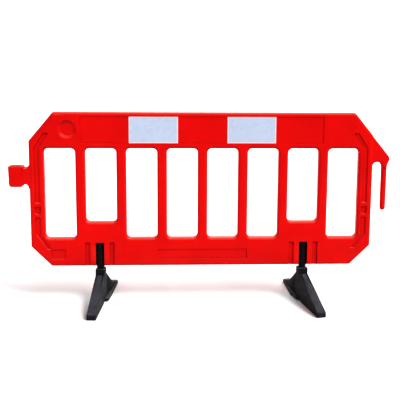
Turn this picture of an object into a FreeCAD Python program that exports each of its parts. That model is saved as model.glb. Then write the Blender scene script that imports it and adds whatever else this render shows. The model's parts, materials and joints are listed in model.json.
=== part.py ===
import FreeCAD, Part
import math
import os
import Sketcher

os.makedirs("parts", exist_ok=True)
doc = FreeCAD.newDocument("PedestrianBarrier")

# ---------------------------------------------------------------------------
# Moulded plastic pedestrian barrier with two swivelling feet.
# Millimetres, +Z up, +X along the barrier, -Y is the face that is looked at.
# Origin: on the floor, half way along the overall length, in the mid-plane
# of the panel (the plane that also holds both foot swivel axes).
# ---------------------------------------------------------------------------
# A size given as a formula follows the sizes it names.
SIZES = [
    ("overallLength", 2000.0), ("overallHeight", 1020.0),
    ("socketReach", 107.0), ("hookReach", 91.0),
    ("panelLeft", "socketReach-overallLength/2"), ("panelRight", "overallLength/2-hookReach"),
    ("panelBottom", 200.0), ("panelThick", 50.0), ("wallThick", 3.5), ("edgeBevel", 11.0),
    ("endStile", 75.9), ("barWide", 50.6),
    ("windowPitch", "(panelRight-panelLeft-2*endStile+barWide)/8"),
    ("windowWide", "windowPitch-barWide"), ("topRail", 188.0),
    ("windowTop", "overallHeight-topRail"),
    ("windowSill", 350.0), ("shortSill", 437.0), ("windowRound", 24.0),
    ("cornerRun", 126.0), ("cornerDrop", 150.0),
    ("rightRun", 99.0), ("rightDrop", 121.0), ("footCorner", 106.0),
    ("bandEnd", 263.0), ("bandLong", "panelRight-panelLeft-2*bandEnd"),
    ("bandTall", 142.0), ("bandTopGap", 19.0),
    ("bandBottom", "overallHeight-bandTopGap-bandTall"), ("bandDeep", 3.0),
    ("sheetLong", 255.0), ("sheetGap", 1.0), ("sheetTall", "bandTall-2*sheetGap"),
    ("sheetThick", 0.6), ("dishRadius", 50.0), ("dishDeep", 3.0),
    ("linkWide", 77.0), ("linkTall", 109.0), ("linkDrop", 392.0),
    ("linkBottom", "overallHeight-linkDrop"), ("pinRadius", 15.0), ("linkGap", 3.0),
    ("linkHoleWide", 62.0), ("linkHoleDeep", "2*pinRadius+2*linkGap"),
    ("pinDrop", 524.0), ("pinTipHeight", "overallHeight-pinDrop"),
    ("archDrop", 260.0), ("archTop", "overallHeight-archDrop"), ("archWide", 50.0),
    ("hookDrop", 232.0), ("hookTipHeight", "overallHeight-hookDrop"),
    ("postRadius", 22.5), ("postGap", 0.3), ("postTop", 327.0), ("mouthWide", 44.0),
    ("postInset", 360.5), ("postSpacing", "panelRight-panelLeft-2*postInset"),
    ("neckStep", 3.5), ("neckRadius", "postRadius-neckStep"),
    ("spigotRadius", 18.0), ("spigotBottom", 120.0),
    ("bossWide", 49.0), ("bossTop", 182.0),
    ("armFront", 270.0), ("armRear", 269.85), ("armWide", 48.0), ("armTall", 150.0),
    ("tipTall", 27.0), ("ribWide", 44.0), ("padWide", 80.0), ("padTall", 18.0),
    ("reliefTall", 7.0), ("reliefLong", 120.0),
    ("boltRadius", 5.0), ("boltEnd", 4.0), ("headFlats", 16.0), ("headTall", 6.4),
    ("washerRadius", 12.0), ("washerThick", 2.0), ("nutTall", 8.0), ("nutSeat", 150.0),
    ("boltTop", "nutSeat+nutTall+boltEnd"), ("seatHeight", 20.0), ("capThick", 4.0),
    ("turnLeft", 4.2), ("turnRight", 14.0), ("rearSkew", 4.6),
]
sheet = doc.addObject("Spreadsheet::Sheet", "Sizes")
for row, (name, value) in enumerate(SIZES, start=1):
    sheet.set("A%d" % row, name)
    sheet.set("B%d" % row, "=" + value if isinstance(value, str) else str(value))
    sheet.setAlias("B%d" % row, name)
doc.recompute()
V = dict(SIZES)
for name in V:
    V[name] = float(sheet.get(name))


def ex(text):
    """Turn a formula over size names into a spreadsheet expression."""
    out, word = "", ""
    for ch in text + " ":
        if ch.isalnum() or ch == "_":
            word += ch
        else:
            out += ("Sizes." + word) if word in V else word
            word = ""
            out += ch
    return out.strip()



def formula(text):
    tokens, i = [], 0
    while i < len(text):
        c = text[i]
        if c.isspace():
            i += 1
        elif c.isalpha():
            j = i
            while j < len(text) and (text[j].isalnum() or text[j] == "_"):
                j += 1
            tokens.append(text[i:j])
            i = j
        elif c.isdigit() or c == ".":
            j = i
            while j < len(text) and (text[j].isdigit() or text[j] == "."):
                j += 1
            tokens.append(float(text[i:j]))
            i = j
        else:
            tokens.append(c)
            i += 1
    pos = [0]

    def peek():
        return tokens[pos[0]] if pos[0] < len(tokens) else None

    def atom():
        t = peek()
        pos[0] += 1
        if t == "-":
            return -atom()
        if t == "(":
            v = total()
            pos[0] += 1
            return v
        if isinstance(t, float):
            return t
        if t == "sqrt":
            pos[0] += 1
            v = total()
            pos[0] += 1
            return math.sqrt(v)
        return V[t]

    def product():
        v = atom()
        while peek() in ("*", "/"):
            op = peek()
            pos[0] += 1
            w = atom()
            v = v * w if op == "*" else v / w
        return v

    def total():
        v = product()
        while peek() in ("+", "-"):
            op = peek()
            pos[0] += 1
            w = product()
            v = v + w if op == "+" else v - w
        return v

    return total()


def bind(obj, **props):
    for prop, text in props.items():
        if prop in ("Length", "Width", "Height", "Radius", "Size", "LengthFwd",
                    "Radius1", "Radius2", "Angle", "Circumradius"):
            setattr(obj, prop, formula(text))
            obj.setExpression(prop, ex(text))
        else:
            obj.setExpression("Placement.Base." + prop, ex(text))
    return obj


def box(name, x, y, z, length, width, height):
    b = doc.addObject("Part::Box", name)
    return bind(b, Length=length, Width=width, Height=height, x=x, y=y, z=z)


def rod(name, x, y, z, radius, height):
    c = doc.addObject("Part::Cylinder", name)
    return bind(c, Radius=radius, Height=height, x=x, y=y, z=z)


def cone(name, x, y, z, low, high, height):
    c = doc.addObject("Part::Cone", name)
    return bind(c, Radius1=low, Radius2=high, Height=height, x=x, y=y, z=z)


def hexagon(name, x, y, z, corner, height):
    p = doc.addObject("Part::Prism", name)
    p.Polygon = 6
    return bind(p, Circumradius=corner, Height=height, x=x, y=y, z=z)


def fuse(name, items):
    f = doc.addObject("Part::MultiFuse", name)
    f.Shapes = items
    f.Refine = True
    return f


def cut(name, base, items):
    tool = items[0]
    if len(items) > 1:
        tool = doc.addObject("Part::MultiFuse", name + "_tools")
        tool.Shapes = items
    c = doc.addObject("Part::Cut", name)
    c.Base = base
    c.Tool = tool
    return c


def polygon(sk, points):
    """Closed outline; every corner is held at formulas for its two distances."""
    xy = [(formula(a), formula(b)) for a, b in points]
    first = sk.GeometryCount
    n = len(points)
    for i in range(n):
        p, q = xy[i], xy[(i + 1) % n]
        sk.addGeometry(Part.LineSegment(FreeCAD.Vector(p[0], p[1], 0),
                                        FreeCAD.Vector(q[0], q[1], 0)), False)
    for i in range(n):
        sk.addConstraint(Sketcher.Constraint("Coincident", first + i, 2,
                                             first + (i + 1) % n, 1))
    for i, (a, b) in enumerate(points):
        for kind, text, value in (("DistanceX", a, xy[i][0]), ("DistanceY", b, xy[i][1])):
            k = sk.addConstraint(Sketcher.Constraint(kind, -1, 1, first + i, 1, value))
            sk.setExpression("Constraints[%d]" % k, ex(text))


def body_sketch(body, name, plane):
    sk = body.newObject("Sketcher::SketchObject", name)
    for item in body.Origin.OriginFeatures:
        if item.Role == plane:
            sk.AttachmentSupport = (item, [""])
    sk.MapMode = "FlatFace"
    doc.recompute()
    return sk


def slab(name, points, thick, plane="XZ_Plane", both=True):
    """A body padded from its own plane, equally to both sides unless both is False."""
    body = doc.addObject("PartDesign::Body", name)
    sk = body_sketch(body, name + "_outline", plane)
    polygon(sk, points)
    pad = body.newObject("PartDesign::Pad", name + "_pad")
    pad.Profile = sk
    pad.Midplane = both
    pad.Length = formula(thick)
    pad.setExpression("Length", ex(thick))
    doc.recompute()
    return body, pad


PANEL_MID = "((panelLeft+panelRight)/2)"


def panel_skin(name, inset):
    """Outer skin (inset 0) or the hollow inside it (inset = wall)."""
    o = inset
    def leg(a, b):
        return "(%s+%s*(sqrt(%s*%s+%s*%s)-%s-%s)/%s)" % (a, o, a, a, b, b, a, b, b)
    left, right = "(panelLeft+%s)" % o, "(panelRight-%s)" % o
    low, high = "(panelBottom+%s)" % o, "(overallHeight-%s)" % o
    lc = leg("footCorner", "footCorner")
    outline = [
        (left, low + "+" + lc), (left, high + "-" + leg("cornerDrop", "cornerRun")),
        (left + "+" + leg("cornerRun", "cornerDrop"), high),
        (right + "-" + leg("rightRun", "rightDrop"), high),
        (right, high + "-" + leg("rightDrop", "rightRun")),
        (right, low + "+" + lc), (right + "-" + lc, low), (left + "+" + lc, low)]
    body, pad = slab(name, outline, "panelThick-2*%s" % o)
    sk = body_sketch(body, name + "_windows", "XZ_Plane")
    for i in range(8):
        mid = "%s+(%s)*windowPitch" % (PANEL_MID, i - 3.5)
        sill = "shortSill" if i in (1, 6) else "windowSill"
        l, r = "%s-windowWide/2-%s" % (mid, o), "%s+windowWide/2+%s" % (mid, o)
        polygon(sk, [(l, sill + "-" + o), (r, sill + "-" + o),
                     (r, "windowTop+" + o), (l, "windowTop+" + o)])
    hole = body.newObject("PartDesign::Pocket", name + "_windowcut")
    hole.Profile = sk
    hole.Type = 1
    hole.Midplane = True
    doc.recompute()
    half = formula("panelThick/2-" + o)
    edges = []
    lo_x, hi_x = formula(left), formula(right)
    for i, e in enumerate(hole.Shape.Edges, start=1):
        a, b = e.Vertexes[0].Point, e.Vertexes[-1].Point
        along = abs(a.y - b.y) > half and abs(a.x - b.x) < 1e-6 and abs(a.z - b.z) < 1e-6
        top, bottom = formula("windowTop+" + o), formula("windowSill-" + o)
        low_w = formula("%s-3.5*windowPitch-windowWide/2-%s" % (PANEL_MID, o))
        high_w = formula("%s+3.5*windowPitch+windowWide/2+%s" % (PANEL_MID, o))
        if along and bottom - 1 < a.z < top + 1 and low_w - 1 < a.x < high_w + 1:
            edges.append("Edge%d" % i)
    rounds = body.newObject("PartDesign::Fillet", name + "_windowround")
    rounds.Base = (hole, edges)
    rounds.Radius = formula("windowRound+" + o)
    rounds.setExpression("Radius", ex("windowRound+" + o))
    doc.recompute()
    edges = []
    for i, e in enumerate(rounds.Shape.Edges, start=1):
        a, b = e.Vertexes[0].Point, e.Vertexes[-1].Point
        if abs(abs(a.y) - half) < 1e-6 and abs(a.y - b.y) < 1e-6:
            edges.append("Edge%d" % i)
    bevel = body.newObject("PartDesign::Chamfer", name + "_bevel")
    bevel.Base = (rounds, edges)
    bevel.Size = formula("edgeBevel-0.586*" + o)
    bevel.setExpression("Size", ex("edgeBevel-0.586*" + o))
    body.Tip = bevel
    doc.recompute()
    return body


# --- panel ------------------------------------------------------------------
skin = panel_skin("panel_skin", "0")
hollow = panel_skin("panel_hollow", "wallThick")

FACE = "panelThick/2"
POST_X = ["(%s-postSpacing/2)" % PANEL_MID, "(%s+postSpacing/2)" % PANEL_MID]
BORE = "(postRadius+postGap)"

# walls that the hollow has to leave round the post channels, the sign band
# and the round dish
keep = []
for side, px in zip(("left", "right"), POST_X):
    keep.append(box("keep_post_" + side, "%s-%s-wallThick-30" % (px, BORE), "-panelThick/2",
                    "panelBottom-1", "2*%s+2*wallThick+60" % BORE, "panelThick",
                    "postTop-panelBottom+2+wallThick+1"))
for face, y in (("front", "-panelThick/2"), ("rear", "panelThick/2-bandDeep-wallThick")):
    keep.append(box("keep_band_" + face, "%s-bandLong/2-wallThick" % PANEL_MID, y,
                    "bandBottom-wallThick", "bandLong+2*wallThick", "bandDeep+wallThick",
                    "bandTall+2*wallThick"))
DISH_X, DISH_Z = "(panelLeft+200)", "(bandBottom+bandTall/2+3)"
dish_keep = rod("keep_dish", DISH_X, "-panelThick/2+dishDeep+wallThick", DISH_Z,
                "dishRadius+wallThick", "dishDeep+wallThick")
dish_keep.Placement.Rotation = FreeCAD.Rotation(FreeCAD.Vector(1, 0, 0), 90)
keep.append(dish_keep)
inside = cut("panel_inside", hollow, keep)

# link socket at the left end: block, narrower neck
LINK_TOP = "(linkBottom+linkTall)"
socket = box("link_block", "-overallLength/2", "-panelThick/2", "linkBottom",
             "linkWide", "panelThick", "linkTall")
neck = box("link_neck", "-overallLength/2+linkWide-10", "-panelThick/2+2", "linkBottom+13",
           "panelLeft+overallLength/2-linkWide+10+14", "panelThick-4", "linkTall-26")

# link hook at the right end: sloping plate, arch, round pin
hook_points = [
    ("overallLength/2", "hookTipHeight-18"), ("overallLength/2", "hookTipHeight"),
    ("panelRight-25", "hookTipHeight+(overallLength/2-panelRight+25)*rightDrop/rightRun"),
    ("panelRight-25", "archTop-70"), ("panelRight+1", "archTop-70"),
    ("panelRight+1", "archTop-18"), ("panelRight+12", "archTop-4"),
    ("panelRight+archWide/2", "archTop"), ("panelRight+archWide-12", "archTop-4"),
    ("panelRight+archWide-1", "archTop-18"), ("panelRight+archWide-1", "archTop-30"),
    ("panelRight+archWide+2*pinRadius+1", "archTop-30")]
hook, hook_pad = slab("hook_plate", hook_points, "panelThick-10")
PIN_X = "(panelRight+archWide+pinRadius)"
pin = rod("hook_pin", PIN_X, "0", "pinTipHeight+pinRadius*0.6", "pinRadius",
          "archTop-pinTipHeight-pinRadius*0.6+14")
pin_tip = cone("hook_pin_tip", PIN_X, "0", "pinTipHeight", "pinRadius*0.6", "pinRadius",
               "pinRadius*0.6")

shell = cut("panel_shell", skin, [inside])
whole = fuse("panel_whole", [shell, socket, neck, hook, pin, pin_tip])

holes = []
# oblong link hole, open at the top and the bottom
r = "linkHoleDeep/2"
for i, s in enumerate(("-", "+")):
    holes.append(rod("link_hole_end%d" % i,
                     "-overallLength/2+linkWide/2%s(linkHoleWide-linkHoleDeep)/2" % s, "0",
                     "linkBottom-2", r, "linkTall+4"))
holes.append(box("link_hole_mid", "-overallLength/2+linkWide/2-(linkHoleWide-linkHoleDeep)/2",
                 "-linkHoleDeep/2", "linkBottom-2", "linkHoleWide-linkHoleDeep",
                 "linkHoleDeep", "linkTall+4"))
# foot post channels: round bore with a slightly narrower mouth to the front
for side, px in zip(("left", "right"), POST_X):
    holes.append(rod("post_bore_" + side, px, "0", "panelBottom-2", BORE,
                     "postTop-panelBottom+3"))
    holes.append(box("post_mouth_" + side, "%s-mouthWide/2" % px, "-panelThick/2-2",
                     "panelBottom-2", "mouthWide", "panelThick/2+2",
                     "postTop-panelBottom+3"))
    # two upright flutes either side stiffen the rail
    for s in ("-64-14", "+64-14"):
        for face, y in (("f", "-panelThick/2-1"), ("r", "panelThick/2-1.4")):
            holes.append(box("flute_%s_%s%s" % (side, face, "a" if s[0] == "-" else "b"),
                             px + s, y, "panelBottom+14", "28", "2.4",
                             "postTop-panelBottom-14"))
# sign band, round dish, stile grooves, hollow's drain hole
for face, y in (("front", "-panelThick/2-1"), ("rear", "panelThick/2-bandDeep")):
    holes.append(box("band_" + face, "%s-bandLong/2" % PANEL_MID, y, "bandBottom",
                     "bandLong", "bandDeep+1", "bandTall"))
dish = rod("dish", DISH_X, "-panelThick/2+dishDeep", DISH_Z, "dishRadius", "dishDeep+2")
dish.Placement.Rotation = FreeCAD.Rotation(FreeCAD.Vector(1, 0, 0), 90)
holes.append(dish)
for side, gx in (("left", "panelLeft+25"), ("right", "panelRight-53")):
    for face, y in (("f", "-panelThick/2-1"), ("r", "panelThick/2-1.5")):
        holes.append(box("groove_up_%s_%s" % (side, face), gx, y, "540", "28", "2.5", "300"))
        holes.append(box("groove_low_%s_%s" % (side, face), gx, y, "365", "28", "2.5", "100"))
holes.append(rod("drain", PANEL_MID, "0", "panelBottom-2", "4", "wallThick+6"))
panel = cut("barrier_panel", whole, holes)

# --- retroreflective sheets ---------------------------------------------------
sheets = []
for face, y in (("front", "-panelThick/2+bandDeep-sheetThick"), ("rear", "panelThick/2-bandDeep")):
    for side, s in (("left", "-"), ("right", "+")):
        sheets.append(box("sheet_%s_%s" % (face, side),
                          "%s%s%s-sheetLong/2" % (PANEL_MID, s, "256"), y,
                          "bandBottom+(bandTall-sheetTall)/2", "sheetLong", "sheetThick",
                          "sheetTall"))

# --- feet ---------------------------------------------------------------------
feet = []
for side, px, turn in (("left", POST_X[0], "-turnLeft"), ("right", POST_X[1], "turnRight")):
    # long front arm with a sloping top, at -Y
    front, front_pad = slab(side + "_arm_front", [
        ("-armFront", "0"), ("0", "0"), ("0", "armTall+10"), ("-bossWide/2", "armTall"),
        ("-armFront+6", "tipTall"), ("-armFront", "tipTall-6")], "armWide", "YZ_Plane")
    # rear arm: narrower rib that drops sooner, on a low wide pad
    rear, rear_pad = slab(side + "_arm_rear", [
        ("0", "0"), ("armRear-6", "0"), ("armRear-6", "padTall-2"), ("armRear*0.775", "armTall*0.24"),
        ("armRear*0.56", "armTall*0.35"), ("bossWide/2+14", "armTall*0.94"), ("0", "armTall+8")],
        "ribWide", "YZ_Plane")
    rear.setExpression("Placement.Rotation.Angle", ex("-rearSkew"))
    rear.Placement.Rotation = FreeCAD.Rotation(FreeCAD.Vector(0, 0, 1), formula("-rearSkew"))
    # low pad under it: full width by the boss, then its left edge runs in to the tip
    plate, plate_pad = slab(side + "_pad", [
        ("-padWide*0.45", "-20"), ("padWide*0.55", "-20"), ("padWide*0.55", "armRear-6"),
        ("padWide*0.55-6", "armRear"), ("6", "armRear"), ("0", "armRear-6"),
        ("-padWide*0.45", "bossWide/2+40")], "padTall", "XY_Plane", False)
    boss = box(side + "_boss", "-bossWide/2", "-bossWide/2", "0", "bossWide", "bossWide", "bossTop")
    solid = fuse(side + "_foot_solid", [front, rear, plate, boss])
    tools = [
        rod(side + "_post_seat", "0", "0", "spigotBottom", "spigotRadius+0.2",
            "bossTop-spigotBottom+2"),
        rod(side + "_bolt_hole", "0", "0", "seatHeight-1", "boltRadius+0.5",
            "spigotBottom-seatHeight+2"),
        rod(side + "_head_room", "0", "0", "-1", "washerRadius+2", "seatHeight+1"),
        box(side + "_relief", "-padWide", "-reliefLong/2", "-1", "2*padWide", "reliefLong",
            "reliefTall+1")]
    foot = cut("foot_" + side, solid, tools)

    post_solid = fuse(side + "_post_solid", [
        rod(side + "_post_spigot", "0", "0", "spigotBottom", "spigotRadius",
            "bossTop-spigotBottom+2"),
        rod(side + "_post_neck", "0", "0", "bossTop", "neckRadius", "panelBottom-bossTop"),
        rod(side + "_post_barrel", "0", "0", "panelBottom-4", "postRadius",
            "postTop-capThick-panelBottom+4")])
    post = cut("post_" + side, post_solid, [
        rod(side + "_post_hole", "0", "0", "spigotBottom-1", "boltRadius+0.3",
            "nutSeat-spigotBottom+2"),
        hexagon(side + "_nut_room", "0", "0", "nutSeat", "headFlats/1.732+0.4",
                "postTop-nutSeat")])
    cap = fuse("cap_" + side, [
        rod(side + "_cap_top", "0", "0", "postTop-capThick", "postRadius", "capThick"),
        rod(side + "_cap_plug", "0", "0", "postTop-capThick-12", "headFlats/2", "13")])
    bolt = fuse("bolt_" + side, [
        hexagon(side + "_bolt_head", "0", "0", "seatHeight-washerThick-headTall",
                "headFlats/1.732", "headTall"),
        rod(side + "_bolt_shank", "0", "0", "seatHeight-washerThick-1", "boltRadius",
            "boltTop-seatHeight+washerThick+1")])
    washer = cut("washer_" + side,
                 rod(side + "_washer_disc", "0", "0", "seatHeight-washerThick",
                     "washerRadius", "washerThick"),
                 [rod(side + "_washer_hole", "0", "0", "seatHeight-washerThick-1",
                      "boltRadius+0.4", "washerThick+2")])
    nut = cut("nut_" + side,
              hexagon(side + "_nut_hex", "0", "0", "nutSeat", "headFlats/1.732", "nutTall"),
              [rod(side + "_nut_hole", "0", "0", "nutSeat-1", "boltRadius+0.02", "nutTall+2")])
    for obj in (foot, post, cap, bolt, washer, nut):
        obj.setExpression("Placement.Base.x", ex(px))
        obj.setExpression("Placement.Rotation.Angle", ex(turn))
        obj.Placement.Rotation = FreeCAD.Rotation(FreeCAD.Vector(0, 0, 1), formula(turn))
        feet.append(obj)

doc.recompute()

nodes = [panel] + sheets + feet
for obj in nodes:
    obj.Label = obj.Name
bad = [o.Name for o in doc.Objects if "Invalid" in o.State or "Error" in o.State]
if bad:
    raise RuntimeError("objects in a bad state: %s" % bad)
for obj in nodes:
    shape = obj.Shape
    if shape.isNull() or not shape.isValid() or len(shape.Solids) != 1:
        raise RuntimeError("bad shape: %s, %d solids" % (obj.Name, len(shape.Solids)))
    shape.exportStep("parts/%s.step" % obj.Name)
    print("%-20s %9.1f cm3" % (obj.Name, shape.Volume / 1000.0), shape.BoundBox)
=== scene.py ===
import json
import math

import bmesh
import bpy
from mathutils import Matrix, Vector


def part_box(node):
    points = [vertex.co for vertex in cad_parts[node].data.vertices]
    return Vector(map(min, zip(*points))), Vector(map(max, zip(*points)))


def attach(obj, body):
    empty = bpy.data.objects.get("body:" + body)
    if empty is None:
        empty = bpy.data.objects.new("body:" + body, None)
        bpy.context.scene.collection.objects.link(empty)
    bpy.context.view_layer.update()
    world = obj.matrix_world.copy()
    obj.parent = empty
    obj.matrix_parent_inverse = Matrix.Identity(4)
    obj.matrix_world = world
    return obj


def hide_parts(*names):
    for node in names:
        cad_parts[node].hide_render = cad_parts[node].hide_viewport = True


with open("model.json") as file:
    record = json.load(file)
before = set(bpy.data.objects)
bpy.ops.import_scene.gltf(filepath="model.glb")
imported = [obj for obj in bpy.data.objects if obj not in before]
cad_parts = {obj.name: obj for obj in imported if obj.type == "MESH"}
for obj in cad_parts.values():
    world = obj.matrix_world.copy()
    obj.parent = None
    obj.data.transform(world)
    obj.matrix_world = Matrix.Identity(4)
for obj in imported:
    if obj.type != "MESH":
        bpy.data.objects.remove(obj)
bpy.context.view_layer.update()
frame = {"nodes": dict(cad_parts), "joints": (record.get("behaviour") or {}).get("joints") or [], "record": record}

MM = 0.001


# --- places taken from the frame --------------------------------------------------
def span(node):
    lo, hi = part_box(node)
    return Vector(lo), Vector(hi)


panel_lo, panel_hi = span("barrier_panel")
openings = {o["name"]: o["box_m"] for o in frame["record"]["physics"]["openings"]}
windows = [openings["window_%d" % (i + 1)] for i in range(8)]
pivots = {j["child"]: Vector(j["pos_m"]) for j in frame["joints"]}

CLEAR = 7.5 * MM            # the stated opening boxes stop this far inside a window
window_mid = [(w[0][0] + w[1][0]) / 2 for w in windows]
WINDOW_TOP = windows[0][1][2] + CLEAR
WINDOW_SILL = [w[0][2] - CLEAR for w in windows]
PANEL_MID = (window_mid[0] + window_mid[7]) / 2
HALF_WINDOW = 81 * MM
HALF_PANEL = 901 * MM       # without the hook and the socket
PANEL_LEFT, PANEL_RIGHT = PANEL_MID - HALF_PANEL, PANEL_MID + HALF_PANEL
TOP, BOTTOM = panel_hi.z, panel_lo.z
HALF_THICK = panel_hi.y
LEFT_END, RIGHT_END = panel_lo.x, panel_hi.x
sheet_lo, sheet_hi = span("sheet_front_left")
SHEET_GAP = 1 * MM          # round each sheet, inside the band
BAND_LOW, BAND_HIGH = sheet_lo.z - SHEET_GAP, sheet_hi.z + SHEET_GAP
HALF_BAND = 638 * MM
SHEET_OUT = PANEL_MID - (sheet_lo.x + sheet_hi.x) / 2


# --- mesh tools -------------------------------------------------------------------
def link(name, mesh):
    obj = bpy.data.objects.new(name, mesh)
    bpy.context.scene.collection.objects.link(obj)
    return obj


def solid(name, bm):
    """Object from a closed bmesh, its faces turned outwards."""
    bmesh.ops.recalc_face_normals(bm, faces=bm.faces)
    mesh = bpy.data.meshes.new(name)
    bm.to_mesh(mesh)
    bm.free()
    return link(name, mesh)


def rounded(points, radii, steps=5):
    """Outline with its corners rounded; radii may be one number or one per corner."""
    n, out = len(points), []
    for i, p in enumerate(points):
        r = radii[i] if isinstance(radii, (list, tuple)) else radii
        a, p, b = Vector(points[i - 1]), Vector(p), Vector(points[(i + 1) % n])
        u, v = (a - p).normalized(), (b - p).normalized()
        half = u.angle(v) / 2
        if r <= 0 or half > 1.56:
            out.append(tuple(p))
            continue
        t = min(r / math.tan(half), 0.49 * min((a - p).length, (b - p).length))
        r = t * math.tan(half)
        centre = p + (u + v).normalized() * (r / math.sin(half))
        s, e = p + u * t - centre, p + v * t - centre
        turn = s.angle(e)
        for k in range(steps + 1):
            w0 = math.sin(turn * (1 - k / steps)) / math.sin(turn)
            w1 = math.sin(turn * k / steps) / math.sin(turn)
            out.append(tuple(centre + s * w0 + e * w1))
    return out


def plate(name, loops, half, bevel, rounds=4, y=0.0):
    """Flat piece in the XZ plane with round bevels on both faces; inner loops are holes."""
    curve = bpy.data.curves.new(name, "CURVE")
    curve.dimensions = "2D"
    curve.fill_mode = "BOTH"
    curve.extrude = half - bevel
    curve.bevel_depth = bevel
    curve.bevel_resolution = rounds
    curve.offset = -bevel
    for loop in loops:
        spline = curve.splines.new("POLY")
        spline.points.add(len(loop) - 1)
        for pt, (x, z) in zip(spline.points, loop):
            pt.co = (x, z, 0, 1)
        spline.use_cyclic_u = True
    obj = link(name + "_curve", curve)
    mesh = bpy.data.meshes.new_from_object(obj.evaluated_get(
        bpy.context.evaluated_depsgraph_get()))
    bpy.data.objects.remove(obj)
    bm = bmesh.new()
    bm.from_mesh(mesh)
    bmesh.ops.remove_doubles(bm, verts=bm.verts, dist=1e-5)
    for v in bm.verts:
        v.co = Vector((v.co.x, y - v.co.z, v.co.y))
    bmesh.ops.recalc_face_normals(bm, faces=bm.faces)
    bm.to_mesh(mesh)
    bm.free()
    return link(name, mesh)


def prism(name, loop, y0, y1, inset=0.0):
    """Prism between two Y planes over an XZ outline; the y1 end may be drawn in."""
    bm = bmesh.new()
    cx = sum(p[0] for p in loop) / len(loop)
    cz = sum(p[1] for p in loop) / len(loop)
    low = [bm.verts.new((x, y0, z)) for x, z in loop]
    high = []
    for x, z in loop:
        d = Vector((x - cx, z - cz))
        k = max(0.0, 1 - inset / max(d.length, 1e-6))
        high.append(bm.verts.new((cx + d.x * k, y1, cz + d.y * k)))
    bm.faces.new(low)
    bm.faces.new(high)
    n = len(loop)
    for i in range(n):
        bm.faces.new((low[i], low[(i + 1) % n], high[(i + 1) % n], high[i]))
    return solid(name, bm)


def lathe(name, profile, steps=40, centre=(0, 0, 0)):
    """Turned solid about Z from (radius, z) points."""
    bm = bmesh.new()
    rings = []
    for r, z in profile:
        if r < 1e-6:
            rings.append([bm.verts.new((centre[0], centre[1], z))])
        else:
            rings.append([bm.verts.new((centre[0] + r * math.cos(2 * math.pi * k / steps),
                                        centre[1] + r * math.sin(2 * math.pi * k / steps), z))
                          for k in range(steps)])
    for a, b in zip(rings, rings[1:]):
        for k in range(steps):
            quad = [a[k % len(a)], a[(k + 1) % len(a)], b[(k + 1) % len(b)], b[k % len(b)]]
            face = list(dict.fromkeys(quad))
            if len(face) > 2:
                bm.faces.new(face)
    for ring in (rings[0], rings[-1]):
        if len(ring) > 2:
            bm.faces.new(ring)
    return solid(name, bm)


def combine(target, tools, operation):
    for tool in tools:
        mod = target.modifiers.new("shape", "BOOLEAN")
        mod.operation = operation
        mod.solver = "EXACT"
        mod.object = tool
        mesh = bpy.data.meshes.new_from_object(target.evaluated_get(
            bpy.context.evaluated_depsgraph_get()))
        target.modifiers.clear()
        target.data = mesh
        bpy.data.objects.remove(tool)
    return target


def smooth(obj, degrees=38, grid=0.0):
    """Smooth shading that keeps real creases and leaves broad flats flat."""
    bm = bmesh.new()
    bm.from_mesh(obj.data)
    bmesh.ops.dissolve_degenerate(bm, edges=bm.edges, dist=1e-6)
    if grid:
        lo = [min(v.co[i] for v in bm.verts) for i in (0, 2)]
        hi = [max(v.co[i] for v in bm.verts) for i in (0, 2)]
        for axis, a, b in ((Vector((1, 0, 0)), lo[0], hi[0]), (Vector((0, 0, 1)), lo[1], hi[1])):
            for k in range(1, int((b - a) / grid) + 1):
                bmesh.ops.bisect_plane(bm, geom=bm.verts[:] + bm.edges[:] + bm.faces[:],
                                       dist=1e-7, plane_co=axis * (a + k * grid + 0.0007),
                                       plane_no=axis)
    limit = math.radians(degrees)
    bm.normal_update()
    for f in bm.faces:
        f.smooth = abs(f.normal.y) < 0.9995
    for e in bm.edges:
        e.smooth = not (len(e.link_faces) == 2 and e.calc_face_angle(0) > limit)
    bm.to_mesh(obj.data)
    bm.free()
    mod = obj.modifiers.new("normals", "WEIGHTED_NORMAL")
    mod.keep_sharp = True
    mod.weight = 80
    return obj


# --- materials --------------------------------------------------------------------
def material(name, rough, specular=0.5):
    mat = bpy.data.materials.new(name)
    mat.use_nodes = True
    tree = mat.node_tree
    shader = tree.nodes["Principled BSDF"]
    shader.inputs["Roughness"].default_value = rough
    shader.inputs["Specular IOR Level"].default_value = specular
    coords = tree.nodes.new("ShaderNodeTexCoord")
    return mat, tree, shader, coords.outputs["Object"]


def noise(tree, coords, scale, detail=3.0, rough=0.5, stretch=None):
    if stretch:
        mapping = tree.nodes.new("ShaderNodeMapping")
        mapping.inputs["Scale"].default_value = stretch
        tree.links.new(coords, mapping.inputs["Vector"])
        coords = mapping.outputs["Vector"]
    node = tree.nodes.new("ShaderNodeTexNoise")
    node.inputs["Scale"].default_value = scale
    node.inputs["Detail"].default_value = detail
    node.inputs["Roughness"].default_value = rough
    tree.links.new(coords, node.inputs["Vector"])
    return node.outputs["Fac"]


def ramp(tree, source, low, high, stops):
    node = tree.nodes.new("ShaderNodeValToRGB")
    node.color_ramp.elements[0].position = low
    node.color_ramp.elements[1].position = high
    node.color_ramp.elements[0].color = (*stops[0], 1)
    node.color_ramp.elements[1].color = (*stops[1], 1)
    tree.links.new(source, node.inputs["Fac"])
    return node.outputs["Color"]


def spread(tree, source, low, high, to_low, to_high):
    node = tree.nodes.new("ShaderNodeMapRange")
    for key, value in (("From Min", low), ("From Max", high), ("To Min", to_low),
                       ("To Max", to_high)):
        node.inputs[key].default_value = value
    tree.links.new(source, node.inputs["Value"])
    return node.outputs["Result"]


def mix(tree, factor, a, b, kind="MIX"):
    node = tree.nodes.new("ShaderNodeMix")
    node.data_type = "RGBA"
    node.blend_type = kind
    for socket, value in ((node.inputs["Factor"], factor), (node.inputs["A"], a),
                          (node.inputs["B"], b)):
        if isinstance(value, (float, int)):
            socket.default_value = value
        elif isinstance(value, tuple):
            socket.default_value = (*value, 1)
        else:
            tree.links.new(value, socket)
    return node.outputs["Result"]


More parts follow.
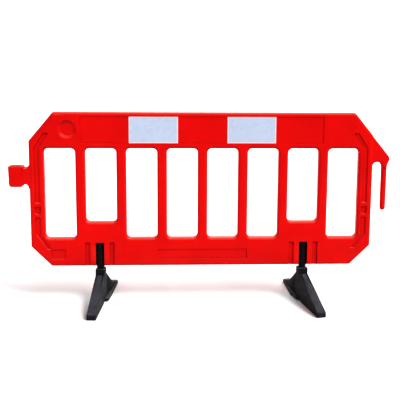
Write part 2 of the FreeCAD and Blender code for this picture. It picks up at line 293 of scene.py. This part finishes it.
def bumps(tree, shader, layers):
    """Stack of (height source, strength, distance) bumps."""
    normal = None
    for source, strength, distance in layers:
        node = tree.nodes.new("ShaderNodeBump")
        node.inputs["Strength"].default_value = strength
        node.inputs["Distance"].default_value = distance
        tree.links.new(source, node.inputs["Height"])
        if normal:
            tree.links.new(normal, node.inputs["Normal"])
        normal = node.outputs["Normal"]
    tree.links.new(normal, shader.inputs["Normal"])


def times(tree, a, b):
    node = tree.nodes.new("ShaderNodeMath")
    node.operation = "MULTIPLY"
    tree.links.new(a, node.inputs[0])
    tree.links.new(b, node.inputs[1])
    return node.outputs[0]


def edge_wear(tree, low, high):
    geo = tree.nodes.new("ShaderNodeNewGeometry")
    return spread(tree, geo.outputs["Pointiness"], low, high, 0.0, 1.0)


def red_plastic():
    mat, tree, shader, at = material("red_polyethylene", 0.40, 0.16)
    cloud = noise(tree, at, 6.0, 4.0)
    base = ramp(tree, cloud, 0.3, 0.7, ((0.60, 0.0010, 0.0008), (0.69, 0.0022, 0.0010)))
    scuffs = noise(tree, at, 38.0, 8.0, 0.7, (1.0, 1.0, 0.35))
    base = mix(tree, spread(tree, scuffs, 0.62, 0.76, 0.0, 0.18), base, (0.62, 0.03, 0.018))
    dust = noise(tree, at, 11.0, 6.0, 0.65)
    split = tree.nodes.new("ShaderNodeSeparateXYZ")
    tree.links.new(at, split.inputs["Vector"])
    low_down = spread(tree, split.outputs["Z"], BOTTOM + 0.18, BOTTOM, 0.0, 0.16)
    splash = times(tree, low_down, spread(tree, dust, 0.4, 0.7, 0.0, 1.0))
    base = mix(tree, splash, base, (0.26, 0.045, 0.03))
    base = mix(tree, edge_wear(tree, 0.53, 0.6), base, (0.75, 0.035, 0.015))
    # painted shade: deep red in the corners; painted highlight: pale on faces that look up; painted shade: dark on
    # faces that look down
    close = tree.nodes.new("ShaderNodeAmbientOcclusion")
    close.inputs["Distance"].default_value = 0.022
    base = mix(tree, spread(tree, close.outputs["AO"], 0.35, 0.95, 0.75, 0.0), base,
               (0.18, 0.0006, 0.0010))
    painted_light_geometry = tree.nodes.new("ShaderNodeNewGeometry")
    parts = tree.nodes.new("ShaderNodeSeparateXYZ")
    tree.links.new(painted_light_geometry.outputs["Normal"], parts.inputs["Vector"])
    # painted highlight: faces that look up are mixed towards pale pink
    base = mix(tree, spread(tree, parts.outputs["Z"], 0.2, 0.85, 0.0, 0.55), base,
               (0.72, 0.12, 0.09))
    # painted shade: faces that look down are mixed towards dark red
    base = mix(tree, spread(tree, parts.outputs["Z"], -0.15, -0.8, 0.0, 0.75), base,
               (0.14, 0.0010, 0.0020))
    tree.links.new(base, shader.inputs["Base Color"])
    tree.links.new(spread(tree, scuffs, 0.35, 0.75, 0.33, 0.55), shader.inputs["Roughness"])
    bumps(tree, shader, [(noise(tree, at, 9.0, 2.0), 0.25, 0.004),
                         (noise(tree, at, 900.0, 2.0), 0.12, 0.0004),
                         (scuffs, 0.06, 0.0006)])
    return mat


def box_border(tree, at, half_x, half_z):
    """1 on the rim of either sign sheet, 0 inside it."""
    split = tree.nodes.new("ShaderNodeSeparateXYZ")
    tree.links.new(at, split.inputs["Vector"])

    def math_node(kind, a, b=None):
        node = tree.nodes.new("ShaderNodeMath")
        node.operation = kind
        for socket, value in zip(node.inputs, (a, b)):
            if isinstance(value, float):
                socket.default_value = value
            elif value is not None:
                tree.links.new(value, socket)
        return node.outputs[0]

    x = math_node("ABSOLUTE", math_node("SUBTRACT", split.outputs["X"], PANEL_MID))
    x = math_node("ABSOLUTE", math_node("SUBTRACT", x, SHEET_OUT))
    z = math_node("ABSOLUTE", math_node("SUBTRACT", split.outputs["Z"],
                                        (sheet_lo.z + sheet_hi.z) / 2))
    return math_node("MAXIMUM", math_node("GREATER_THAN", x, half_x),
                     math_node("GREATER_THAN", z, half_z))


def sheet_film():
    mat, tree, shader, at = material("prismatic_film", 0.3, 0.5)
    cells = tree.nodes.new("ShaderNodeTexVoronoi")
    cells.feature = "DISTANCE_TO_EDGE"
    cells.inputs["Scale"].default_value = 160.0
    cells.inputs["Randomness"].default_value = 0.0
    tree.links.new(at, cells.inputs["Vector"])
    cell = spread(tree, cells.outputs["Distance"], 0.0, 0.12, 0.0, 1.0)
    base = mix(tree, cell, (0.50, 0.55, 0.66), (0.46, 0.53, 0.67))
    base = mix(tree, spread(tree, noise(tree, at, 7.0, 2.0), 0.35, 0.7, 0.0, 0.3), base,
               (0.55, 0.61, 0.74))
    rim = box_border(tree, at, (sheet_hi.x - sheet_lo.x) / 2 - 6 * MM,
                     (sheet_hi.z - sheet_lo.z) / 2 - 6 * MM)
    base = mix(tree, rim, base, (0.72, 0.66, 0.70))
    tree.links.new(base, shader.inputs["Base Color"])
    tree.links.new(spread(tree, noise(tree, at, 30.0, 5.0), 0.3, 0.7, 0.2, 0.38),
                   shader.inputs["Roughness"])
    bumps(tree, shader, [(cell, 0.08, 0.0003), (noise(tree, at, 14.0, 2.0), 0.1, 0.001)])
    return mat


def black_plastic(name, dark, light, dust_and_top_sheen, rough_low, rough_high, grain, wear_from):
    mat, tree, shader, at = material(name, rough_low, 0.22)
    base = ramp(tree, noise(tree, at, 14.0, 6.0, 0.65), 0.3, 0.72, (dark, light))
    geo = tree.nodes.new("ShaderNodeNewGeometry")
    split = tree.nodes.new("ShaderNodeSeparateXYZ")
    tree.links.new(geo.outputs["Normal"], split.inputs["Vector"])
    # dust and a painted top sheen: faces that look up are mixed lighter in patches
    upward = spread(tree, split.outputs["Z"], 0.1, 0.95, 0.0, 1.0)
    patch = spread(tree, noise(tree, at, 26.0, 7.0, 0.7), 0.3, 0.68, 0.35, 1.0)
    base = mix(tree, times(tree, upward, patch), base, dust_and_top_sheen)
    base = mix(tree, edge_wear(tree, wear_from, wear_from + 0.12), base,
               tuple(min(1, c * 1.6) for c in dust_and_top_sheen))
    tree.links.new(base, shader.inputs["Base Color"])
    tree.links.new(spread(tree, patch, 0.3, 1.0, rough_low, rough_high),
                   shader.inputs["Roughness"])
    bumps(tree, shader, [(noise(tree, at, grain, 4.0, 0.6), 0.35, 0.0008),
                         (noise(tree, at, 22.0, 2.0), 0.2, 0.003)])
    return mat


def zinc():
    mat, tree, shader, at = material("zinc_plated_steel", 0.35)
    shader.inputs["Metallic"].default_value = 1.0
    tree.links.new(ramp(tree, noise(tree, at, 120.0, 5.0), 0.3, 0.7,
                        ((0.42, 0.43, 0.42), (0.62, 0.62, 0.58))), shader.inputs["Base Color"])
    tree.links.new(spread(tree, noise(tree, at, 300.0, 4.0), 0.3, 0.7, 0.28, 0.5),
                   shader.inputs["Roughness"])
    bumps(tree, shader, [(noise(tree, at, 700.0, 3.0), 0.2, 0.0002)])
    return mat


RED = red_plastic()
FILM = sheet_film()
FOOT = black_plastic("recycled_black_plastic", (0.006, 0.007, 0.009), (0.017, 0.018, 0.021),
                     (0.088, 0.093, 0.112), 0.5, 0.72, 420.0, 0.56)
POST = black_plastic("black_nylon", (0.0008, 0.0007, 0.0012), (0.002, 0.0018, 0.003),
                     (0.03, 0.03, 0.034), 0.38, 0.6, 700.0, 0.66)
ZINC = zinc()


def wear(obj, mat):
    obj.data.materials.clear()
    obj.data.materials.append(mat)
    return obj


# --- panel ------------------------------------------------------------------------
BEVEL = 14 * MM
left_corner = (126 * MM, 150 * MM)
CORNER_DROP, CORNER_RUN = 121, 99    # mm, the top right corner that the hook carries on
slope = CORNER_DROP / CORNER_RUN
low_corner = 106 * MM
outline = rounded([
    (PANEL_LEFT + low_corner, BOTTOM), (PANEL_RIGHT - low_corner, BOTTOM),
    (PANEL_RIGHT, BOTTOM + low_corner), (PANEL_RIGHT, TOP - CORNER_DROP * MM),
    (PANEL_RIGHT - CORNER_RUN * MM, TOP), (PANEL_LEFT + left_corner[0], TOP),
    (PANEL_LEFT, TOP - left_corner[1]), (PANEL_LEFT, BOTTOM + low_corner)], 14 * MM)
loops = [outline]
for mid, sill in zip(window_mid, WINDOW_SILL):
    loops.append(rounded([(mid - HALF_WINDOW, sill), (mid - HALF_WINDOW, WINDOW_TOP),
                          (mid + HALF_WINDOW, WINDOW_TOP), (mid + HALF_WINDOW, sill)],
                         24 * MM, 6))
panel = plate("panel_moulding", loops, HALF_THICK, BEVEL, 5)

# link hook: sloping plate with an arch under it, and the hanging pin
gap = openings["hook_gap"]
ARCH_RIGHT = PANEL_RIGHT + 50 * MM
ARCH_R = 26 * MM
ARCH_TOP = gap[1][2] + 19.5 * MM
PIN_R = 15 * MM
PIN_X = ARCH_RIGHT + PIN_R
hook_tip = TOP - 232 * MM
inner = PANEL_RIGHT - 30 * MM
hook_outline = [
    (inner, hook_tip + (RIGHT_END - inner) * slope - 4 * MM),
    (RIGHT_END - 3 * MM, hook_tip), (RIGHT_END, hook_tip - 16 * MM),
    (PIN_X + PIN_R - 1 * MM, ARCH_TOP - 12 * MM), (PIN_X + PIN_R - 4 * MM, ARCH_TOP - 34 * MM),
    (ARCH_RIGHT + 4 * MM, ARCH_TOP - 30 * MM)]
hook_outline += [(PANEL_RIGHT + 25 * MM + ARCH_R * math.cos(a),
                  ARCH_TOP - ARCH_R + ARCH_R * math.sin(a))
                 for a in [math.pi * k / 10 for k in range(11)]]
hook_outline += [(PANEL_RIGHT - 4 * MM, ARCH_TOP - 60 * MM), (inner, ARCH_TOP - 60 * MM)]
hook = plate("hook_plate", [hook_outline], 21 * MM, 8 * MM, 4)
pin_low = gap[0][2] + 6 * MM
pin = lathe("hook_pin", [(0, pin_low), (5 * MM, pin_low + 0.6 * MM), (9 * MM, pin_low + 3 * MM),
                         (12.5 * MM, pin_low + 8 * MM), (14.2 * MM, pin_low + 15 * MM),
                         (14.8 * MM, pin_low + 40 * MM), (15 * MM, ARCH_TOP - 60 * MM),
                         (15.3 * MM, ARCH_TOP - 26 * MM), (15.3 * MM, ARCH_TOP + 4 * MM),
                         (0, ARCH_TOP + 5 * MM)], 36, (PIN_X, 0, 0))
combine(panel, [hook, pin], "UNION")

# link socket: an open block on a narrower neck
hole = openings["link_socket_hole"]
SOCKET_TOP, SOCKET_LOW = hole[1][2] - 13 * MM, hole[0][2] + 13 * MM
SOCKET_RIGHT = LEFT_END + 77 * MM
tilt = 3 * MM
socket_outline = rounded([
    (LEFT_END, SOCKET_TOP), (LEFT_END + tilt, SOCKET_LOW), (SOCKET_RIGHT - 2 * MM, SOCKET_LOW),
    (SOCKET_RIGHT, SOCKET_TOP)], [3 * MM, 14 * MM, 14 * MM, 3 * MM])
socket = plate("socket_block", [socket_outline], HALF_THICK, 5 * MM, 3)
neck_outline = [(SOCKET_RIGHT - 16 * MM, SOCKET_TOP - 8 * MM),
                (SOCKET_RIGHT + 18 * MM, SOCKET_TOP - 10 * MM),
                (PANEL_LEFT - 4 * MM, SOCKET_TOP + 4 * MM),
                (PANEL_LEFT + 20 * MM, SOCKET_TOP + 18 * MM),
                (PANEL_LEFT + 20 * MM, SOCKET_LOW - 20 * MM),
                (PANEL_LEFT - 2 * MM, SOCKET_LOW - 10 * MM),
                (PANEL_LEFT - 9 * MM, SOCKET_LOW + 10 * MM),
                (SOCKET_RIGHT + 8 * MM, SOCKET_LOW + 15 * MM),
                (SOCKET_RIGHT - 8 * MM, SOCKET_LOW + 4 * MM),
                (SOCKET_RIGHT - 16 * MM, SOCKET_LOW + 4 * MM)]
neck = plate("socket_neck", [neck_outline], HALF_THICK - 2 * MM, 6 * MM, 3)
combine(panel, [socket, neck], "UNION")
socket_mid = (hole[0][0] + hole[1][0]) / 2
oblong = bmesh.new()
HOLE_R, HOLE_STRETCH, HOLE_STEPS = 18 * MM, 13 * MM, 32
turns = [2 * math.pi * (k + 0.5) / HOLE_STEPS for k in range(HOLE_STEPS)]
ring = [(socket_mid + (HOLE_STRETCH if math.cos(a) > 0 else -HOLE_STRETCH) + HOLE_R * math.cos(a),
         HOLE_R * math.sin(a)) for a in turns]
low = [oblong.verts.new((x, y, SOCKET_LOW - 20 * MM)) for x, y in ring]
high = [oblong.verts.new((x, y, SOCKET_TOP + 20 * MM)) for x, y in ring]
oblong.faces.new(low)
oblong.faces.new(high)
for i in range(HOLE_STEPS):
    j = (i + 1) % HOLE_STEPS
    oblong.faces.new((low[i], low[j], high[j], high[i]))
combine(panel, [solid("oblong", oblong)], "DIFFERENCE")

# recesses: sign band, round dish, stile grooves, rail flutes
cuts = []
for face in (-1, 1):
    band = [(PANEL_MID - HALF_BAND, BAND_LOW), (PANEL_MID + HALF_BAND, BAND_LOW),
            (PANEL_MID + HALF_BAND, BAND_HIGH), (PANEL_MID - HALF_BAND, BAND_HIGH)]
    cuts.append(prism("band_cut", rounded(band, 5 * MM, 3), face * (HALF_THICK + 0.004),
                      face * (HALF_THICK - 3 * MM), 4 * MM))


def groove(name, loop, depth, faces=(-1, 1), inset=3 * MM):
    return [prism(name, loop, f * (HALF_THICK + 1 * MM), f * (HALF_THICK - depth), inset)
            for f in faces]


dish_x, dish_z = PANEL_LEFT + 200 * MM, (BAND_LOW + BAND_HIGH) / 2 + 3 * MM
circle = [(dish_x + 50 * MM * math.cos(a), dish_z + 50 * MM * math.sin(a))
          for a in [2 * math.pi * k / 48 for k in range(48)]]
cuts += groove("dish_cut", circle, 9 * MM, (-1,), 16 * MM)

GROOVE = 14 * MM
for side in (-1, 1):
    edge = PANEL_MID + side * HALF_PANEL
    gx = edge - side * 41 * MM
    top_z = 838 * MM
    run = 52 * MM
    cuts += groove("stile_groove", rounded([
        (gx - GROOVE, 540 * MM), (gx + GROOVE, 540 * MM),
        (gx + GROOVE, top_z),
        (gx - side * run + GROOVE, top_z + 78 * MM), (gx - side * run - GROOVE, top_z + 78 * MM),
        (gx - GROOVE, top_z)], 4 * MM, 3), 5 * MM, inset=6 * MM)
    cuts += groove("stile_pocket", rounded([
        (gx - 17 * MM, 490 * MM), (gx - 8 * MM, 478 * MM), (gx + 8 * MM, 478 * MM),
        (gx + 17 * MM, 490 * MM), (gx + 17 * MM, 524 * MM), (gx - 17 * MM, 524 * MM)],
        6 * MM, 4), 7 * MM, inset=5 * MM)
    cuts += groove("stile_low", rounded([
        (gx - GROOVE, 372 * MM), (gx - side * 58 * MM - 12 * MM, 290 * MM),
        (gx - side * 58 * MM + 12 * MM, 290 * MM), (gx + GROOVE, 372 * MM),
        (gx + GROOVE, 466 * MM), (gx - GROOVE, 466 * MM)], 4 * MM, 3), 5 * MM, inset=6 * MM)
for x0, x1 in ((PANEL_MID - 240 * MM, PANEL_MID + 240 * MM),
               (PANEL_LEFT + 105 * MM, PANEL_LEFT + 182 * MM)):
    cuts += groove("rail_recess", rounded([(x0, 238 * MM), (x1, 238 * MM), (x1, 292 * MM),
                                           (x0, 292 * MM)], 3 * MM, 3), 4 * MM, inset=4 * MM)
for body in ("left_foot", "right_foot"):
    px = pivots[body].x
    for side in (-1, 1):
        fx = px + side * 64 * MM
        cuts += groove("flute", rounded([
            (fx - 13 * MM, BOTTOM - 2 * MM), (fx + 13 * MM, BOTTOM - 2 * MM),
            (fx + 13 * MM, 330 * MM), (fx - 13 * MM, 330 * MM)], 4 * MM, 3), 7 * MM,
            inset=7 * MM)
combine(panel, cuts, "DIFFERENCE")

# each post turns in a round bore that is open to the front
BORE_R, HALF_MOUTH = 22.8 * MM, 22.4 * MM
post_top = span("cap_left")[1].z + 1 * MM
channel = []
for body in ("left_foot", "right_foot"):
    px = pivots[body].x
    channel.append(lathe("bore", [(BORE_R, BOTTOM - 5 * MM), (BORE_R, post_top)], 48,
                         (px, 0, 0)))
    channel.append(prism("mouth", rounded([
        (px - HALF_MOUTH, BOTTOM - 5 * MM), (px + HALF_MOUTH, BOTTOM - 5 * MM),
        (px + HALF_MOUTH, post_top), (px - HALF_MOUTH, post_top)], [0, 0, 5 * MM, 5 * MM]),
        -HALF_THICK - 2 * MM, -2 * MM))
combine(panel, channel, "DIFFERENCE")
wear(smooth(panel, grid=35 * MM), RED)
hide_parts("barrier_panel")
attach(panel, "panel")


# --- feet --------------------------------------------------------------------------
TURN = {"left": -4.2, "right": 14.0}         # degrees from square to the panel
ARM_FRONT, ARM_REAR = 270 * MM, 269.5 * MM   # reach from the post's axis
REAR_SKEW = 4.6                              # degrees, rear arm off the foot's own line
BOSS_HALF, BOSS_TOP = 24.5 * MM, 182 * MM


def wedge(name, corners):
    """Closed convex solid over loose corner points."""
    bm = bmesh.new()
    verts = [bm.verts.new(c) for c in corners]
    bmesh.ops.convex_hull(bm, input=verts)
    return solid(name, bm)


def lengthwise(obj, turned=0.0):
    """Stand an XZ plate along the foot: its X becomes the foot's rearward Y."""
    obj.data.transform(Matrix.Rotation(math.radians(90 + turned), 4, "Z"))
    return obj


def foot_moulding(side):
    """One foot: boss, front and rear arms and rear pad, then its creases, ribs and holes."""
    tip, rear_end = ARM_FRONT, ARM_REAR
    boss = plate("foot_moulding_" + side, [rounded([
        (-BOSS_HALF, 6 * MM), (BOSS_HALF, 6 * MM), (BOSS_HALF, BOSS_TOP),
        (-BOSS_HALF, BOSS_TOP)], 5 * MM, 3)], BOSS_HALF, 4 * MM, 3)
    front = lengthwise(plate("arm_front", [rounded([
        (-tip, 0), (9 * MM, 0), (9 * MM, 154 * MM), (-30 * MM, 147 * MM),
        (4 * MM - tip, 27 * MM)], [5 * MM, 5 * MM, 5 * MM, 12 * MM, 8 * MM], 4)],
        24 * MM, 4 * MM, 3))
    rear = lengthwise(plate("arm_rear", [rounded([
        (-11 * MM, 1 * MM), (rear_end - 8 * MM, 1 * MM), (rear_end - 8 * MM, 16 * MM),
        (rear_end * 0.775, 35 * MM), (rear_end * 0.56, 54 * MM), (39 * MM, 140 * MM),
        (-11 * MM, 156 * MM)], [5 * MM, 5 * MM, 6 * MM, 20 * MM, 30 * MM, 12 * MM, 5 * MM], 4)],
        22 * MM, 4 * MM, 3), -REAR_SKEW)
    pad = plate("pad", [rounded([
        (-36 * MM, -20 * MM), (44 * MM, -20 * MM), (44 * MM, rear_end),
        (0, rear_end), (-36 * MM, 64.5 * MM)], [10 * MM, 10 * MM, 9 * MM, 9 * MM, 16 * MM], 4)],
        9 * MM, 3 * MM, 3)
    pad.data.transform(Matrix.Translation((0, 0, 9 * MM)) @ Matrix.Rotation(math.radians(-90), 4,
                                                                           "X"))
    combine(boss, [front, rear, pad], "UNION")
    drop = (147 - 27) / (270 - 36)

    def crest(y):
        """Height of the front arm's top edge."""
        return 147 * MM + (y + 30 * MM) * drop

    tools = []
    for s in (-1, 1):
        tools.append(wedge("crease", [
            (s * a * MM, y, crest(y) + dz) for a, y, dz in (
                (12, -27 * MM, -9 * MM), (20, -27 * MM, -9 * MM), (10, -27 * MM, 40 * MM),
                (22, -27 * MM, 40 * MM), (17, -135 * MM, -1 * MM), (19, -135 * MM, -1 * MM),
                (16, -135 * MM, 40 * MM), (20, -135 * MM, 40 * MM))]))
        for y in (44, 62, 80, 98):
            z0, z1 = 24 * MM, (136 - (y - 39) * 0.76) * MM - 12 * MM
            x0 = s * 22 * MM + (y * MM) * math.tan(math.radians(REAR_SKEW))
            tools.append(wedge("rib_gap", [
                (x0 + dx, y * MM + dy, z) for z in (z0, z1)
                for dx, dy in ((-s * 2.5 * MM, -4 * MM), (-s * 2.5 * MM, 4 * MM),
                               (s * 8 * MM, -6 * MM), (s * 8 * MM, 6 * MM))]))
    tools += [lathe("seat", [(18.2 * MM, 120 * MM), (18.2 * MM, 190 * MM)], 48),
              lathe("bolt_way", [(5.5 * MM, 10 * MM), (5.5 * MM, 130 * MM)], 24),
              lathe("head_room", [(14 * MM, -5 * MM), (14 * MM, 20 * MM)], 36),
              wedge("relief", [(x, y, z) for x in (-0.1, 0.1)
                               for y, z in ((-60 * MM, -5 * MM), (60 * MM, -5 * MM),
                                            (-60 * MM, 1 * MM), (60 * MM, 1 * MM),
                                            (-52 * MM, 7 * MM), (52 * MM, 7 * MM))])]
    combine(boss, tools, "DIFFERENCE")
    boss.data.transform(Matrix.Translation((pivots[side + "_foot"].x, 0, 0))
                        @ Matrix.Rotation(math.radians(TURN[side]), 4, "Z"))
    wear(smooth(boss, 40), FOOT)
    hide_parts("foot_" + side)
    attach(boss, side + "_foot")


foot_moulding("left")
foot_moulding("right")

# --- carried-over CAD nodes --------------------------------------------------------
for name, node in frame["nodes"].items():
    if name.startswith("sheet"):
        wear(node, FILM)
    elif name.startswith(("post", "cap")):
        wear(node, POST)
    elif name.startswith(("bolt", "washer", "nut")):
        wear(node, ZINC)

# --- floor, light, camera ------------------------------------------------------------
floor = bpy.data.meshes.new("floor")
sweep = [(-7, 0), (3, 0)] + [(3 + 3 * math.sin(a), 3 - 3 * math.cos(a))
                             for a in [math.pi / 2 * k / 16 for k in range(1, 17)]] + [(6, 9)]
floor.from_pydata([(x, y, z) for y, z in sweep for x in (-10, 10)], [],
                  [(2 * k, 2 * k + 1, 2 * k + 3, 2 * k + 2) for k in range(len(sweep) - 1)])
for face in floor.polygons:
    face.use_smooth = True
floor = link("floor", floor)
floor_mat, _, floor_shader, _ = material("pale_floor", 0.9, 0.1)
floor_shader.inputs["Base Color"].default_value = (0.92, 0.92, 0.92, 1)
wear(floor, floor_mat)

world = bpy.data.worlds.new("studio")
bpy.context.scene.world = world
world.use_nodes = True
world.node_tree.nodes["Background"].inputs["Color"].default_value = (1, 1, 1, 1)
world.node_tree.nodes["Background"].inputs["Strength"].default_value = 0.3


def lamp(name, place, aim, size, power):
    light = bpy.data.lights.new(name, "AREA")
    light.size = size
    light.energy = power
    obj = bpy.data.objects.new(name, light)
    bpy.context.scene.collection.objects.link(obj)
    obj.location = place
    obj.rotation_euler = (Vector(aim) - Vector(place)).to_track_quat("-Z", "Y").to_euler()


lamp("fill", (-2.5, -4.5, 2.2), (0, 0, 0.6), 3.0, 12)
lamp("rim", (0.5, 3.5, 3.6), (0, 0, 0.9), 2.5, 70)
sun = bpy.data.lights.new("sun", "SUN")
sun.energy = 2.5
sun.angle = math.radians(28)
sun_object = bpy.data.objects.new("sun", sun)
bpy.context.scene.collection.objects.link(sun_object)
sun_object.rotation_euler = Vector((-0.55, 0.40, -0.74)).to_track_quat("-Z", "Y").to_euler()

camera = bpy.data.cameras.new("camera")
camera.sensor_width = 36
FRAME_PX = 400              # the fit was made in units of 1/400 of the picture's width
camera.lens = 706.1 / FRAME_PX * camera.sensor_width
camera.shift_x = -20.2 / FRAME_PX
camera.shift_y = -69.2 / FRAME_PX
eye = bpy.data.objects.new("camera", camera)
bpy.context.scene.collection.objects.link(eye)
eye.location = (-0.0688, -3.6551, 1.4519)
pitch, yaw, roll = math.radians(8.223), math.radians(2.635), math.radians(0.506)
ahead = Vector((math.sin(yaw) * math.cos(pitch), math.cos(yaw) * math.cos(pitch),
                -math.sin(pitch)))
level = Vector((math.cos(yaw), -math.sin(yaw), 0))
above = level.cross(ahead)
right = level * math.cos(roll) + above * math.sin(roll)
upper = above * math.cos(roll) - level * math.sin(roll)
eye.rotation_euler = Matrix((right, upper, -ahead)).transposed().to_euler()
bpy.context.scene.camera = eye
bpy.context.scene.view_settings.view_transform = "Standard"
bpy.context.scene.view_settings.look = "High Contrast"
